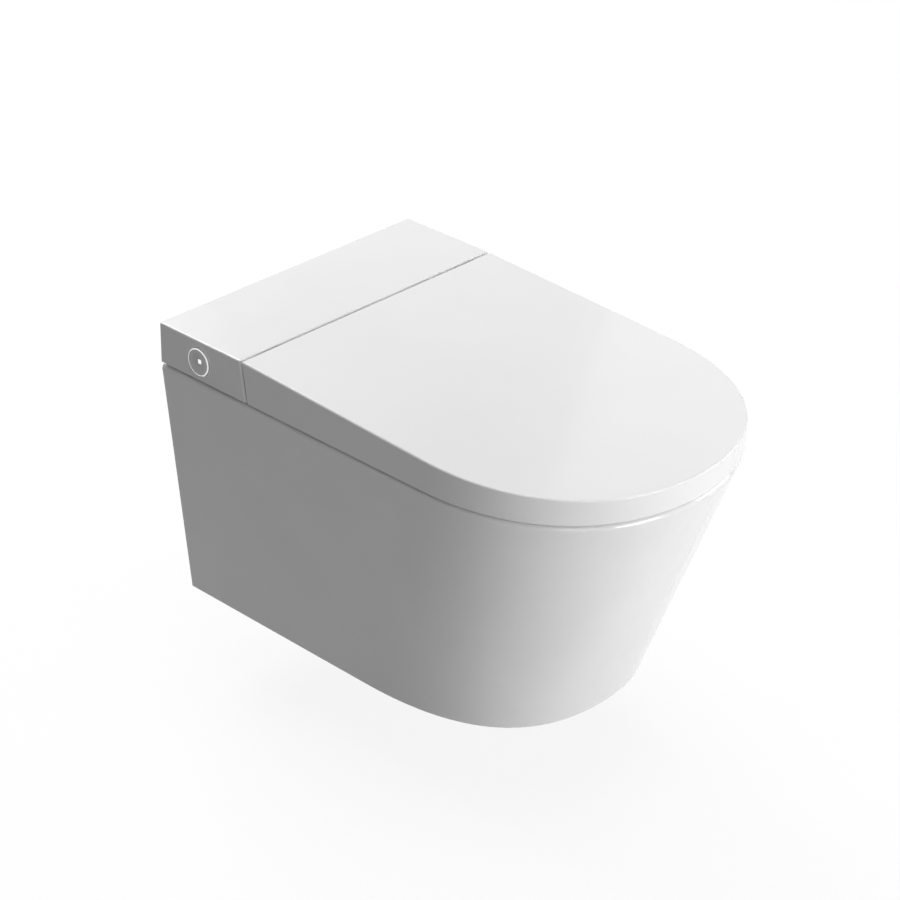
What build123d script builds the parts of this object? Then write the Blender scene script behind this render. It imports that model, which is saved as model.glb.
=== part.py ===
from build123d import *
from math import cos, pi, radians, sin, tan
import os

os.makedirs("parts", exist_ok=True)

# Wall hung toilet with a wash unit behind the lid. Sizes are millimetres.
# Origin: midway between the two wall bolts, on the wall plane.
# +Z is up, +Y points into the wall, and the front of the pan faces -Y.

# Outline of lid, housing and rim, seen from above
overall_width = 385.0
overall_length = 598.0
front_depth = 203.0  # length of the front curve
front_fullness = 0.607  # handle length of the front curve, as a share of its box

# Outline of the underside of the pan
base_width = 318.0
base_setback = 111.0  # from the front of the rim back to the front of the underside
base_front_depth = 205.0
base_fullness = 0.677

# Heights, from the wall bolts
underside_z = -216.0
rim_z = 86.0
shadow_gap = 2.0  # between the rim and the lid or the housing
housing_height = 48.0
lid_front_height = 27.3
lid_bottom_z = rim_z + shadow_gap
housing_top_z = lid_bottom_z + housing_height

# Ceramic
ceramic_wall = 12.0
basin_wall = 10.0
rim_edge_radius = 6.0
foot_edge_radius = 2.5
basin_edge_radius = 7.0
rim_width = 44.5  # from the outline in to the basin, at the sides
rim_front_width = 42.0
basin_rear = 178.0

# Wall side: fixing, flush and waste
bolt_spacing = 180.0
bolt_hole_radius = 11.0
bolt_boss_radius = 26.0
bolt_boss_depth = 30.0
back_plate_bottom = -42.0
waste_drop = 100.0
waste_radius = 51.0
waste_wall = 7.0
spigot_length = 45.0
trap_radius = 27.0
trap_wall = 9.0
flush_rise = 35.0
flush_radius = 27.5
flush_wall = 8.5
flush_channel_radius = 20.0
seal_depth = 24.0
flush_pipe_radius = 22.5

# Housing and lid
cover_wall = 3.0
housing_depth = 126.3  # wall to seam, along the top
seam_slant = 9.3  # degrees, the lower end of the seam is further forward
seam_gap = 2.0  # measured along the top
housing_edge_radius = 2.0
housing_corner_radius = 2.6  # upright edges at the seam
lid_edge_radius = 2.2
lid_rear_radius = 1.8
lid_skirt = 4.0
lid_skin = 3.0
foot_round = 1.0

# Hinge line of lid and seat
hinge_back_reach = 14.0  # from the hinge line back to the lid's rear edge
hinge_depth = 6.0  # from the lid's rear top edge down to the hinge line
pin_radius = 2.5
pin_running = 0.06
pin_seat = 0.02
eye_radius = 4.0
eye_clearance = 0.35
lid_boss_radius = 5.0
post_width = 14.0
post_side_inset = 26.5  # from the outline in to the outer face of the hinge post
post_back = 3.0  # how far the post reaches behind the hinge line
lug_width = 14.0
hinge_side_gap = 2.0
inner_boss_width = 12.0

# Seat
seat_side_gap = 3.0
seat_lift = 4.0
lid_to_seat = 7.0
seat_rear_gap = 8.0  # from the hinge line forward to the seat's rear edge
seat_shoulder = 46.0  # length of the narrow rear part, clear of the lid's swing
seat_ring_width = 86.5  # from the outline in to the opening, at the sides
seat_ring_front = 76.0
seat_opening_rear = 228.0
seat_opening_front_depth = 137.0
seat_edge_radius = 5.0
seat_inner_radius = 8.0
contact_gap = 0.3

# Tray and mounting plate
tray_thickness = 3.0
tray_side_gap = 0.3
tray_front = 149.0
plate_thickness = shadow_gap
plate_width = 200.0
plate_rear = 48.0
plate_front = 126.0
plate_bolt_spacing = 155.0
plate_bolt_y = -100.0
plate_bolt_radius = 4.0
dowel_radius = 7.0
dowel_length = 34.0

# Nozzle
nozzle_tilt = 20.0  # degrees below level
nozzle_rear_y = -9.0
nozzle_rear_z = 117.0
arm_length = 128.0
arm_width = 14.0
arm_height = 12.0
tip_length = 14.0
gear_module = 1.0
pinion_teeth = 14
pinion_turns = 2.0
gear_backlash = 0.5
pinion_place = 98.0  # along the arm, from its rear end
pinion_width = 7.0
guide_gap = 0.3
guide_wall = 2.0
guide_length = 116.0
motor_radius = 12.5
motor_height = 16.0
chute_width = 56.0
chute_rear = 66.0

# Water and mains connections
supply_radius = 10.48
supply_opening = 18.0
supply_bore = 6.0
gland_radius = 8.0
gland_bore = 4.0

# Knob
knob_y = -62.0
knob_z = 111.0
knob_radius = 16.2
knob_gap = 0.5
knob_proud = 2.0
knob_depth = 11.0
knob_dish = 2.6
knob_travel = 1.5
light_side = 5.0
light_depth = 4.4

# Values worked out from those above
half_width = overall_width / 2
straight_side = overall_length - front_depth
base_length = overall_length - base_setback
base_straight = base_length - base_front_depth
basin_half = half_width - rim_width
basin_front = overall_length - rim_front_width
bolt_x = bolt_spacing / 2
slant = tan(radians(seam_slant))
housing_foot_y = -housing_depth - housing_height * slant
lid_rear_y = -housing_depth - seam_gap
lid_foot_y = lid_rear_y - housing_height * slant
lid_slope = (housing_height - lid_front_height) / (overall_length + lid_rear_y)
hinge_y = lid_rear_y - hinge_back_reach
hinge_z = housing_top_z - hinge_depth
post_outer_x = half_width - post_side_inset
seat_bottom_z = rim_z + seat_lift
seat_opening_half = half_width - seat_ring_width
seat_opening_front = overall_length - seat_ring_front
seat_opening_middle = seat_opening_front - seat_opening_front_depth
tray_top_z = lid_bottom_z + tray_thickness
tilt = radians(nozzle_tilt)
pinion_radius = gear_module * pinion_teeth / 2
nozzle_travel = pinion_turns * 2 * pi * pinion_radius
tooth_pitch = pi * gear_module
plate_height = arm_height / 2 + guide_gap + guide_wall


def lid_top(y):
    """Height of the lid's top face at a place along Y."""
    return housing_top_z - lid_slope * (lid_rear_y - y)


def d_outline(half, straight, length, fullness, mode=Mode.ADD):
    """Closed outline seen from above: flat at the wall, rounded at the front."""
    with BuildLine() as line:
        Line((0, 0), (half, 0))
        Line((half, 0), (half, -straight))
        Bezier(
            (half, -straight),
            (half, -straight - fullness * (length - straight)),
            (fullness * half, -length),
            (0, -length),
        )
        mirror(about=Plane.YZ)
    make_face(line.edges(), mode=mode)


def egg_outline(half, rear, middle, front, fullness=(0.58, 0.66), mode=Mode.ADD):
    """Closed basin outline, with how full its front and rear curves are."""
    front_fullness, rear_fullness = fullness
    with BuildLine() as line:
        Bezier(
            (0, -rear),
            (rear_fullness * half, -rear),
            (half, -middle + rear_fullness * (middle - rear)),
            (half, -middle),
        )
        Bezier(
            (half, -middle),
            (half, -middle - front_fullness * (front - middle)),
            (front_fullness * half, -front),
            (0, -front),
        )
        mirror(about=Plane.YZ)
    make_face(line.edges(), mode=mode)


def side_profile(*corners):
    """Closed profile in the side view, from (y, z) corners."""
    with BuildLine() as line:
        Polyline(*corners, close=True)
    make_face(line.edges())


def top_face(builder):
    """Largest flat face that looks upwards."""
    upward = builder.faces().filter_by(GeomType.PLANE).filter_by(lambda face: face.normal_at().Z > 0.5)
    return upward.sort_by(SortBy.AREA)[-1]


# Ceramic pan: outer form
with BuildPart() as pan_form:
    with BuildSketch(Plane.XY.offset(underside_z)):
        d_outline(base_width / 2, base_straight, base_length, base_fullness)
    with BuildSketch(Plane.XY.offset(rim_z)):
        d_outline(half_width, straight_side, overall_length, front_fullness)
    loft(ruled=True)
    top_edges = pan_form.faces().sort_by(Axis.Z)[-1].edges().sort_by(Axis.Y)[:-2]
    fillet(top_edges, rim_edge_radius)
    foot_edges = pan_form.faces().sort_by(Axis.Z)[0].edges().sort_by(Axis.Y)[:-2]
    fillet(foot_edges, foot_edge_radius)

# Hollow inside the skirt, open at the wall
deck_z = rim_z - ceramic_wall
floor_z = underside_z + ceramic_wall
taper = (half_width - base_width / 2) / (rim_z - underside_z)
with BuildPart() as skirt_hollow:
    with BuildSketch(Plane.XY.offset(floor_z)):
        d_outline(
            base_width / 2 + taper * ceramic_wall - ceramic_wall,
            base_straight,
            base_length - ceramic_wall,
            base_fullness,
        )
    with BuildSketch(Plane.XY.offset(deck_z)):
        d_outline(
            half_width - taper * ceramic_wall - ceramic_wall,
            straight_side,
            overall_length - 2 * ceramic_wall,
            front_fullness,
        )
    loft(ruled=True)

# Basin: its outline at five heights, from the rim down to the sump
sump_radius = 34.0
sump_middle = 268.0
basin_levels = [
    # height, half width, rear, middle, front
    (rim_z, basin_half, basin_rear, basin_front - 191, basin_front),
    (rim_z - 50, basin_half - 8, basin_rear + 6, basin_front - 198, basin_front - 16),
    (rim_z - 136, basin_half - 48, basin_rear + 22, basin_front - 238, basin_front - 94),
    (floor_z + 69, basin_half - 86, basin_rear + 34, basin_front - 271, basin_front - 188),
    (floor_z + 4, sump_radius, basin_rear + 56, sump_middle, sump_middle + 36),
]


def basin_solid(wall):
    """Solid bounded by the basin's surface, moved out by a wall thickness."""
    with BuildPart() as solid:
        for z, half, rear, middle, front in basin_levels:
            with BuildSketch(Plane.XY.offset(z)):
                egg_outline(half + wall, rear - wall, middle, front + wall)
        loft()
    return solid.part


basin_space = basin_solid(0)
basin_shell = basin_solid(basin_wall)

# Waterways
trap_route = [
    (0, -sump_middle, floor_z + trap_radius),
    (0, -212, floor_z + trap_radius),
    (0, -138, -86),
    (0, -70, -waste_drop),
    (0, -spigot_length + 5, -waste_drop),
]
flush_route = [
    (0, -seal_depth - 2, flush_rise),
    (0, -62, flush_rise),
    (0, -150, 4),
    (0, -215, -8),
]


def waterway(route, bend, radius):
    """Round tube along a route of straight runs joined by arcs."""
    with BuildPart() as tube:
        with BuildLine() as path:
            FilletPolyline(*route, radius=bend)
        with BuildSketch(Plane(origin=route[0], z_dir=Vector(*route[1]) - Vector(*route[0]))):
            Circle(radius)
        sweep(path=path.line)
    return tube.part


trap_bend = 36.0
flush_bend = 40.0
trap_space = waterway(trap_route, trap_bend, trap_radius)
trap_shell = waterway(trap_route, trap_bend, trap_radius + trap_wall)
flush_space = waterway(flush_route, flush_bend, flush_channel_radius)
flush_shell = waterway(flush_route, flush_bend, flush_channel_radius + flush_wall)

# Chute behind the basin that the nozzle slides down
chute_floor = arm_height / 2 + guide_gap + guide_wall + 5.0


def nozzle_height(y):
    """Height of the nozzle's centre line at a place along Y."""
    return nozzle_rear_z + (y - nozzle_rear_y) * tan(tilt)


def guide_underside(y):
    """Height of the guide's lower face at a place along Y."""
    return nozzle_height(y) - plate_height / cos(tilt)


def notch_rear(height):
    """How far from the wall the notch for the guide starts in a sheet with its top at a height."""
    return -nozzle_rear_y + (guide_underside(nozzle_rear_y) - height) / tan(tilt) - 2 * guide_wall


def chute_solid(extra):
    """Space of the chute, widened and deepened by an amount."""
    rear = -chute_rear + extra
    front = -basin_rear - 40.0
    drop = (chute_floor + extra) / cos(tilt)
    with BuildPart() as solid:
        with BuildSketch(Plane.YZ):
            side_profile(
                (rear, rim_z),
                (rear, min(nozzle_height(rear) - drop, rim_z - extra)),
                (front, nozzle_height(front) - drop),
                (front, rim_z),
            )
        extrude(amount=chute_width / 2 + extra, both=True)
    return solid.part


access_size = 54.0
access_y = -47.0

with BuildPart() as ceramic_bowl:
    add(pan_form.part)
    add(skirt_hollow.part, mode=Mode.SUBTRACT)
    add(basin_shell)
    add(trap_shell)
    add(flush_shell)
    add(chute_solid(basin_wall))
    # Plate at the wall that carries the bolts and the flush inlet
    with BuildSketch(Plane.XZ):
        with BuildLine():
            plate_foot = base_width / 2 + taper * (back_plate_bottom - underside_z) - 2
            plate_head = half_width - taper * ceramic_wall - 2
            Polyline(
                (-plate_foot, back_plate_bottom),
                (plate_foot, back_plate_bottom),
                (plate_head, deck_z + 1),
                (-plate_head, deck_z + 1),
                close=True,
            )
        make_face()
    extrude(amount=ceramic_wall)
    with BuildSketch(Plane.XZ):
        with Locations((-bolt_x, 0), (bolt_x, 0)):
            Circle(bolt_boss_radius)
    extrude(amount=bolt_boss_depth)
    with BuildSketch(Plane.XZ):
        with Locations((0, flush_rise)):
            Circle(flush_radius + flush_wall)
    extrude(amount=seal_depth + basin_wall)
    # Waste spigot and its taper to the trap
    with BuildSketch(Plane.XZ):
        with Locations((0, -waste_drop)):
            Circle(waste_radius)
    extrude(amount=spigot_length)
    with BuildSketch(Plane.XZ.offset(spigot_length)):
        with Locations((0, -waste_drop)):
            Circle(waste_radius)
    with BuildSketch(Plane.XZ.offset(spigot_length + 18)):
        with Locations((0, -waste_drop)):
            Circle(trap_radius + trap_wall)
    loft()
    # Water spaces
    add(basin_space, mode=Mode.SUBTRACT)
    rim_opening = ceramic_bowl.faces().filter_by(Axis.Z).sort_by(Axis.Z)[-1].inner_wires()[0]
    fillet(rim_opening.edges(), basin_edge_radius)
    add(trap_space, mode=Mode.SUBTRACT)
    add(flush_space, mode=Mode.SUBTRACT)
    add(chute_solid(0), mode=Mode.SUBTRACT)
    with BuildSketch(Plane.XZ):
        with Locations((0, -waste_drop)):
            Circle(waste_radius - waste_wall)
    extrude(amount=spigot_length - 4, mode=Mode.SUBTRACT)
    with BuildSketch(Plane.XZ):
        with Locations((0, flush_rise)):
            Circle(flush_radius)
    extrude(amount=seal_depth, mode=Mode.SUBTRACT)
    with BuildSketch(Plane.XZ):
        with Locations((-bolt_x, 0), (bolt_x, 0)):
            Circle(bolt_hole_radius)
    extrude(amount=bolt_boss_depth, mode=Mode.SUBTRACT)
    # Openings in the deck under the unit: reach to the bolts, and holes for the dowels
    with BuildSketch(Plane.XY.offset(rim_z)):
        with Locations((-bolt_x, access_y), (bolt_x, access_y)):
            RectangleRounded(access_size, access_size, 8)
        with Locations((-plate_bolt_spacing / 2, plate_bolt_y), (plate_bolt_spacing / 2, plate_bolt_y)):
            Circle(dowel_radius)
    extrude(amount=-ceramic_wall - 1, mode=Mode.SUBTRACT)
ceramic_bowl.part.label = "ceramic_bowl"
export_step(ceramic_bowl.part, "parts/ceramic_bowl.step")

# Rubber lip seal in the flush inlet
with BuildPart() as inlet_seal:
    with BuildSketch(Plane.XZ):
        with Locations((0, flush_rise)):
            Circle(flush_radius)
            Circle(flush_pipe_radius, mode=Mode.SUBTRACT)
    extrude(amount=seal_depth - 4)
inlet_seal.part.label = "inlet_seal"
export_step(inlet_seal.part, "parts/inlet_seal.step")

# Steel plate on the deck, with a notch for the nozzle
notch_width = chute_width + 4
plate_bolt_x = plate_bolt_spacing / 2
with BuildPart() as mounting_plate:
    with BuildSketch(Plane.XY.offset(rim_z)):
        with Locations((0, -(plate_rear + plate_front) / 2)):
            RectangleRounded(plate_width, plate_front - plate_rear, 6)
        with Locations((0, -plate_front)):
            Rectangle(notch_width, 2 * (plate_front - notch_rear(lid_bottom_z)), mode=Mode.SUBTRACT)
        with Locations((-plate_bolt_x, plate_bolt_y), (plate_bolt_x, plate_bolt_y)):
            Circle(plate_bolt_radius + 0.3, mode=Mode.SUBTRACT)
    extrude(amount=plate_thickness)
mounting_plate.part.label = "mounting_plate"
export_step(mounting_plate.part, "parts/mounting_plate.step")

# Rubber dowels in the deck and the bolts that spread them
with BuildPart() as plate_dowels:
    with BuildSketch(Plane.XY.offset(rim_z)):
        with Locations((-plate_bolt_x, plate_bolt_y), (plate_bolt_x, plate_bolt_y)):
            Circle(dowel_radius)
            Circle(plate_bolt_radius, mode=Mode.SUBTRACT)
    extrude(amount=-dowel_length)
plate_dowels.part.label = "plate_dowels"
export_step(plate_dowels.part, "parts/plate_dowels.step")

bolt_head_radius = 7.0
bolt_head_height = 4.0
with BuildPart() as plate_bolts:
    with BuildSketch(Plane.XY.offset(rim_z - dowel_length)):
        with Locations((-plate_bolt_x, plate_bolt_y), (plate_bolt_x, plate_bolt_y)):
            Circle(plate_bolt_radius)
    extrude(amount=dowel_length + plate_thickness)
    with BuildSketch(Plane.XY.offset(lid_bottom_z)):
        with Locations((-plate_bolt_x, plate_bolt_y), (plate_bolt_x, plate_bolt_y)):
            RegularPolygon(bolt_head_radius, 6)
    extrude(amount=bolt_head_height)
plate_bolts.part.label = "plate_bolts"
export_step(plate_bolts.part, "parts/plate_bolts.step")

# Housing cover: flat top, slanted front, open below and at the wall
cover_screw_x = half_width - cover_wall - 9
cover_screw_places = [
    (-cover_screw_x, -14),
    (cover_screw_x, -14),
    (-cover_screw_x, -112),
    (cover_screw_x, -112),
]
cover_boss_radius = 4.0
screw_radius = 1.5
screw_head_radius = 3.0
screw_depth = 16.0
tray_tongue_half = post_outer_x
front_wall = cover_wall / cos(radians(seam_slant))
knob_bore = knob_radius + knob_gap
with BuildPart() as housing_cover:
    with BuildSketch(Plane.YZ):
        side_profile(
            (0, lid_bottom_z),
            (0, housing_top_z),
            (-housing_depth, housing_top_z),
            (housing_foot_y, lid_bottom_z),
        )
    extrude(amount=half_width, both=True)
    seam_edges = housing_cover.faces().sort_by(Axis.Y)[0].edges().sort_by(Axis.X)
    fillet([seam_edges[0], seam_edges[-1]], housing_corner_radius)
    fillet(top_face(housing_cover).edges().sort_by(Axis.Y)[:-1], housing_edge_radius)
    foot_face = housing_cover.faces().filter_by(Axis.Z).sort_by(Axis.Z)[0]
    fillet(foot_face.edges().sort_by(Axis.Y)[:-1], foot_round)
    with BuildSketch(Plane.YZ):
        inner_top = housing_top_z - cover_wall
        side_profile(
            (1, lid_bottom_z - 1),
            (1, inner_top),
            (-housing_depth + front_wall - cover_wall * slant, inner_top),
            (housing_foot_y + front_wall - slant, lid_bottom_z - 1),
        )
    extrude(amount=half_width - cover_wall, both=True, mode=Mode.SUBTRACT)
    # Way for the tray's tongue under the front wall
    with BuildSketch(Plane.XY.offset(lid_bottom_z - 1)):
        with Locations((0, housing_foot_y)):
            Rectangle(2 * (tray_tongue_half + 1), 20)
    extrude(amount=tray_top_z + contact_gap - lid_bottom_z + 1, mode=Mode.SUBTRACT)
    with BuildSketch(Plane.YZ.offset(-half_width)):
        with Locations((knob_y, knob_z)):
            Circle(knob_bore)
    extrude(amount=cover_wall, mode=Mode.SUBTRACT)
    with BuildSketch(Plane.XY.offset(tray_top_z)):
        with Locations(*cover_screw_places):
            Circle(cover_boss_radius)
    extrude(amount=inner_top - tray_top_z)
    with BuildSketch(Plane.XY.offset(tray_top_z)):
        with Locations(*cover_screw_places):
            Circle(screw_radius)
    extrude(amount=screw_depth, mode=Mode.SUBTRACT)
housing_cover.part.label = "housing_cover"
export_step(housing_cover.part, "parts/housing_cover.step")

# Tray that carries the unit, with an upright wall at the rear
board_x = 92.5 - half_width
board_y = -76.0
board_width = 96.0
board_depth = 34.0
board_lift = 6.0
board_thickness = 1.6
tray_half = half_width - cover_wall - tray_side_gap
tray_rear = 1.0
water_x = half_width - 44.5
connection_z = tray_top_z + 19.0
tray_wall = 2.5
post_inner_x = post_outer_x - post_width
post_rear_y = hinge_y + post_back
post_depth = eye_radius + post_back
hinge_foot_width = 14.0
hinge_screw_x = post_inner_x - 6.0
hinge_screw_y = post_rear_y - post_depth / 2
with BuildPart() as unit_base:
    with BuildSketch(Plane.XY.offset(lid_bottom_z)):
        front_inside = housing_depth + (housing_top_z - tray_top_z) * slant - front_wall - tray_side_gap
        with Locations((0, -(tray_rear + front_inside) / 2)):
            Rectangle(2 * tray_half, front_inside - tray_rear)
        with Locations((0, -(tray_front + tray_rear) / 2)):
            Rectangle(2 * tray_tongue_half, tray_front - tray_rear)
        with Locations((0, -tray_front)):
            Rectangle(notch_width, 2 * (tray_front - notch_rear(tray_top_z)), mode=Mode.SUBTRACT)
        with Locations((-plate_bolt_x, plate_bolt_y), (plate_bolt_x, plate_bolt_y)):
            Circle(bolt_head_radius + 1, mode=Mode.SUBTRACT)
        with Locations(*cover_screw_places):
            Circle(screw_radius + 0.2, mode=Mode.SUBTRACT)
        with Locations((-hinge_screw_x, hinge_screw_y), (hinge_screw_x, hinge_screw_y)):
            Circle(screw_radius, mode=Mode.SUBTRACT)
    extrude(amount=tray_thickness)
    with BuildSketch(Plane.XY.offset(tray_top_z)):
        with Locations((0, -tray_rear - tray_wall / 2)):
            Rectangle(2 * tray_half, tray_wall)
    extrude(amount=inner_top - tray_side_gap - tray_top_z)
    # Way in for the supply hose's nut, and the seat of the cable gland
    with BuildSketch(Plane.XZ.offset(tray_rear)):
        with Locations((water_x, connection_z)):
            Circle(supply_opening)
        with Locations((-water_x, connection_z)):
            Circle(gland_radius + pin_seat)
    extrude(amount=tray_wall, mode=Mode.SUBTRACT)
    with BuildSketch(Plane.XY.offset(tray_top_z)):
        with Locations((board_x, board_y)):
            with GridLocations(board_width - 8, board_depth - 8, 2, 2):
                Circle(3)
    extrude(amount=board_lift)
unit_base.part.label = "unit_base"
export_step(unit_base.part, "parts/unit_base.step")

# Rubber pads between the tray and the deck
pad_rear_x = cover_screw_x - 12.5
pad_front_x = post_outer_x - 16.0
pad_places = [(-pad_rear_x, -14), (pad_rear_x, -14), (-pad_front_x, -140), (pad_front_x, -140)]
with BuildPart() as base_pads:
    with BuildSketch(Plane.XY.offset(rim_z)):
        with Locations(*pad_places):
            RectangleRounded(16, 10, 3)
    extrude(amount=shadow_gap)
base_pads.part.label = "base_pads"
export_step(base_pads.part, "parts/base_pads.step")

# Screws from below into the cover
with BuildPart() as cover_screws:
    with BuildSketch(Plane.XY.offset(lid_bottom_z)):
        with Locations(*cover_screw_places):
            Circle(screw_head_radius)
    extrude(amount=-1.4)
    with BuildSketch(Plane.XY.offset(lid_bottom_z)):
        with Locations(*cover_screw_places):
            Circle(screw_radius)
    extrude(amount=screw_depth)
cover_screws.part.label = "cover_screws"
export_step(cover_screws.part, "parts/cover_screws.step")

# Hinge blocks: a post with an eye, a foot and one screw, mirrored left and right
foot_height = 6.0


def hinge_block_solid():
    """Right-hand hinge block."""
    with BuildPart() as block:
        with BuildSketch(Plane.YZ.offset(post_inner_x)):
            with Locations((post_rear_y - post_depth / 2, (tray_top_z + hinge_z) / 2)):
                Rectangle(post_depth, hinge_z - tray_top_z)
            with Locations((hinge_y, hinge_z)):
                Circle(eye_radius)
        extrude(amount=post_width)
        with BuildSketch(Plane.XY.offset(tray_top_z)):
            with Locations((hinge_screw_x, hinge_screw_y)):
                Rectangle(hinge_foot_width, post_depth)
        extrude(amount=foot_height)
        with BuildSketch(Plane.YZ.offset(post_inner_x - 1)):
            with Locations((hinge_y, hinge_z)):
                Circle(pin_radius + pin_running)
        extrude(amount=post_width + 2, mode=Mode.SUBTRACT)
        with BuildSketch(Plane.XY.offset(tray_top_z)):
            with Locations((hinge_screw_x, hinge_screw_y)):
                Circle(screw_radius)
        extrude(amount=foot_height, mode=Mode.SUBTRACT)
    return block.part


right_block = hinge_block_solid()
with BuildPart() as right_hinge_block:
    add(right_block)
right_hinge_block.part.label = "right_hinge_block"
export_step(right_hinge_block.part, "parts/right_hinge_block.step")

with BuildPart() as left_hinge_block:
    add(mirror(right_block, about=Plane.YZ, mode=Mode.PRIVATE))
left_hinge_block.part.label = "left_hinge_block"
export_step(left_hinge_block.part, "parts/left_hinge_block.step")

with BuildPart() as hinge_screws:
    with BuildSketch(Plane.XY.offset(lid_bottom_z)):
        with Locations((-hinge_screw_x, hinge_screw_y), (hinge_screw_x, hinge_screw_y)):
            Circle(screw_radius)
    extrude(amount=tray_thickness + foot_height)
    with BuildSketch(Plane.XY.offset(tray_top_z + foot_height)):
        with Locations((-hinge_screw_x, hinge_screw_y), (hinge_screw_x, hinge_screw_y)):
            Circle(screw_head_radius)
    extrude(amount=2)
hinge_screws.part.label = "hinge_screws"
export_step(hinge_screws.part, "parts/hinge_screws.step")

# Steel pins that lid and seat turn on, held in the lid's two bosses
lug_outer_x = post_inner_x - hinge_side_gap
lug_inner_x = lug_outer_x - lug_width
inner_boss_x = lug_inner_x - hinge_side_gap
outer_boss_x = post_outer_x + hinge_side_gap
pin_outer_x = half_width - lid_skirt - 1
pin_inner_x = inner_boss_x - inner_boss_width
pin_length = pin_outer_x - pin_inner_x
with BuildPart() as hinge_pins:
    for pin_start in (pin_inner_x, -pin_outer_x):
        with BuildSketch(Plane.YZ.offset(pin_start)):
            with Locations((hinge_y, hinge_z)):
                Circle(pin_radius)
        extrude(amount=pin_length)
hinge_pins.part.label = "hinge_pins"
export_step(hinge_pins.part, "parts/hinge_pins.step")

# Space inside the lid
lid_underside = housing_top_z - lid_skin
skin_inside_front = lid_top(-overall_length) - lid_skin
return_wall = 3.0
with BuildPart() as lid_hollow:
    with BuildSketch(Plane.XY.offset(lid_bottom_z - 1)):
        d_outline(
            half_width - lid_skirt,
            straight_side,
            overall_length - lid_skirt,
            front_fullness,
        )
    extrude(amount=housing_height)
    with BuildSketch(Plane.YZ):
        side_profile(
            (lid_rear_y - return_wall, lid_underside),
            (lid_foot_y - return_wall - slant, lid_bottom_z - 1),
            (-overall_length - 1, lid_bottom_z - 1),
            (-overall_length - 1, skin_inside_front),
        )
    extrude(amount=half_width, both=True, mode=Mode.INTERSECT)

# Lid: sloping top, deep skirt, no rear wall between the hinges
open_rear_half = outer_boss_x
eye_pocket_depth = eye_radius + eye_clearance
pocket_reach = 7.0
with BuildPart() as lid:
    with BuildSketch(Plane.XY.offset(lid_bottom_z)):
        d_outline(half_width, straight_side, overall_length, front_fullness)
    extrude(amount=housing_height)
    with BuildSketch(Plane.YZ):
        side_profile(
            (lid_rear_y, housing_top_z),
            (lid_foot_y, lid_bottom_z),
            (-overall_length - 1, lid_bottom_z),
            (-overall_length - 1, lid_top(-overall_length - 1)),
        )
    extrude(amount=half_width, both=True, mode=Mode.INTERSECT)
    fillet(top_face(lid).edges().sort_by(Axis.Y)[-1], lid_rear_radius)
    fillet(top_face(lid).edges().sort_by(Axis.Y)[:-1], lid_edge_radius)
    lid_foot = lid.faces().filter_by(Axis.Z).sort_by(Axis.Z)[0]
    fillet(lid_foot.edges().sort_by(Axis.Y)[:-1], foot_round)
    add(lid_hollow.part, mode=Mode.SUBTRACT)
    # Opening at the rear between the return walls, under the skin
    with BuildSketch(Plane.YZ):
        side_profile(
            (lid_rear_y + 1, lid_underside - 0.04),
            (lid_rear_y + 1, lid_bottom_z - 1),
            (hinge_y - 6, lid_bottom_z - 1),
            (hinge_y - 6, lid_underside - lid_slope * hinge_back_reach),
        )
    extrude(amount=open_rear_half, both=True, mode=Mode.SUBTRACT)
    # Bosses for the pins, hung from the skin
    for boss_start, boss_end in (
        (outer_boss_x, half_width - lid_skirt),
        (pin_inner_x, inner_boss_x),
        (-half_width + lid_skirt, -outer_boss_x),
        (-inner_boss_x, -pin_inner_x),
    ):
        with BuildSketch(Plane.YZ.offset(boss_start)):
            with Locations((hinge_y, hinge_z)):
                Circle(lid_boss_radius)
            with Locations((hinge_y, (hinge_z + lid_underside) / 2)):
                Rectangle(2 * lid_boss_radius, lid_underside - hinge_z)
        extrude(amount=boss_end - boss_start)
    for pin_start in (pin_inner_x, -pin_outer_x):
        with BuildSketch(Plane.YZ.offset(pin_start)):
            with Locations((hinge_y, hinge_z)):
                Circle(pin_radius + pin_seat)
        extrude(amount=pin_length, mode=Mode.SUBTRACT)
    # Pockets in the skin over the eyes of post and lug
    pocket_front = hinge_y - eye_radius - pocket_reach
    pocket_rear = lid_rear_y + 1
    for pocket_middle in (-(lug_inner_x + post_outer_x) / 2, (lug_inner_x + post_outer_x) / 2):
        with BuildSketch(Plane.XY.offset(hinge_z)):
            with Locations((pocket_middle, (pocket_front + pocket_rear) / 2)):
                Rectangle(post_outer_x - lug_inner_x + 2, pocket_rear - pocket_front)
        extrude(amount=eye_pocket_depth, mode=Mode.SUBTRACT)
lid.part.label = "lid"
export_step(lid.part, "parts/lid.step")

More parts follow.
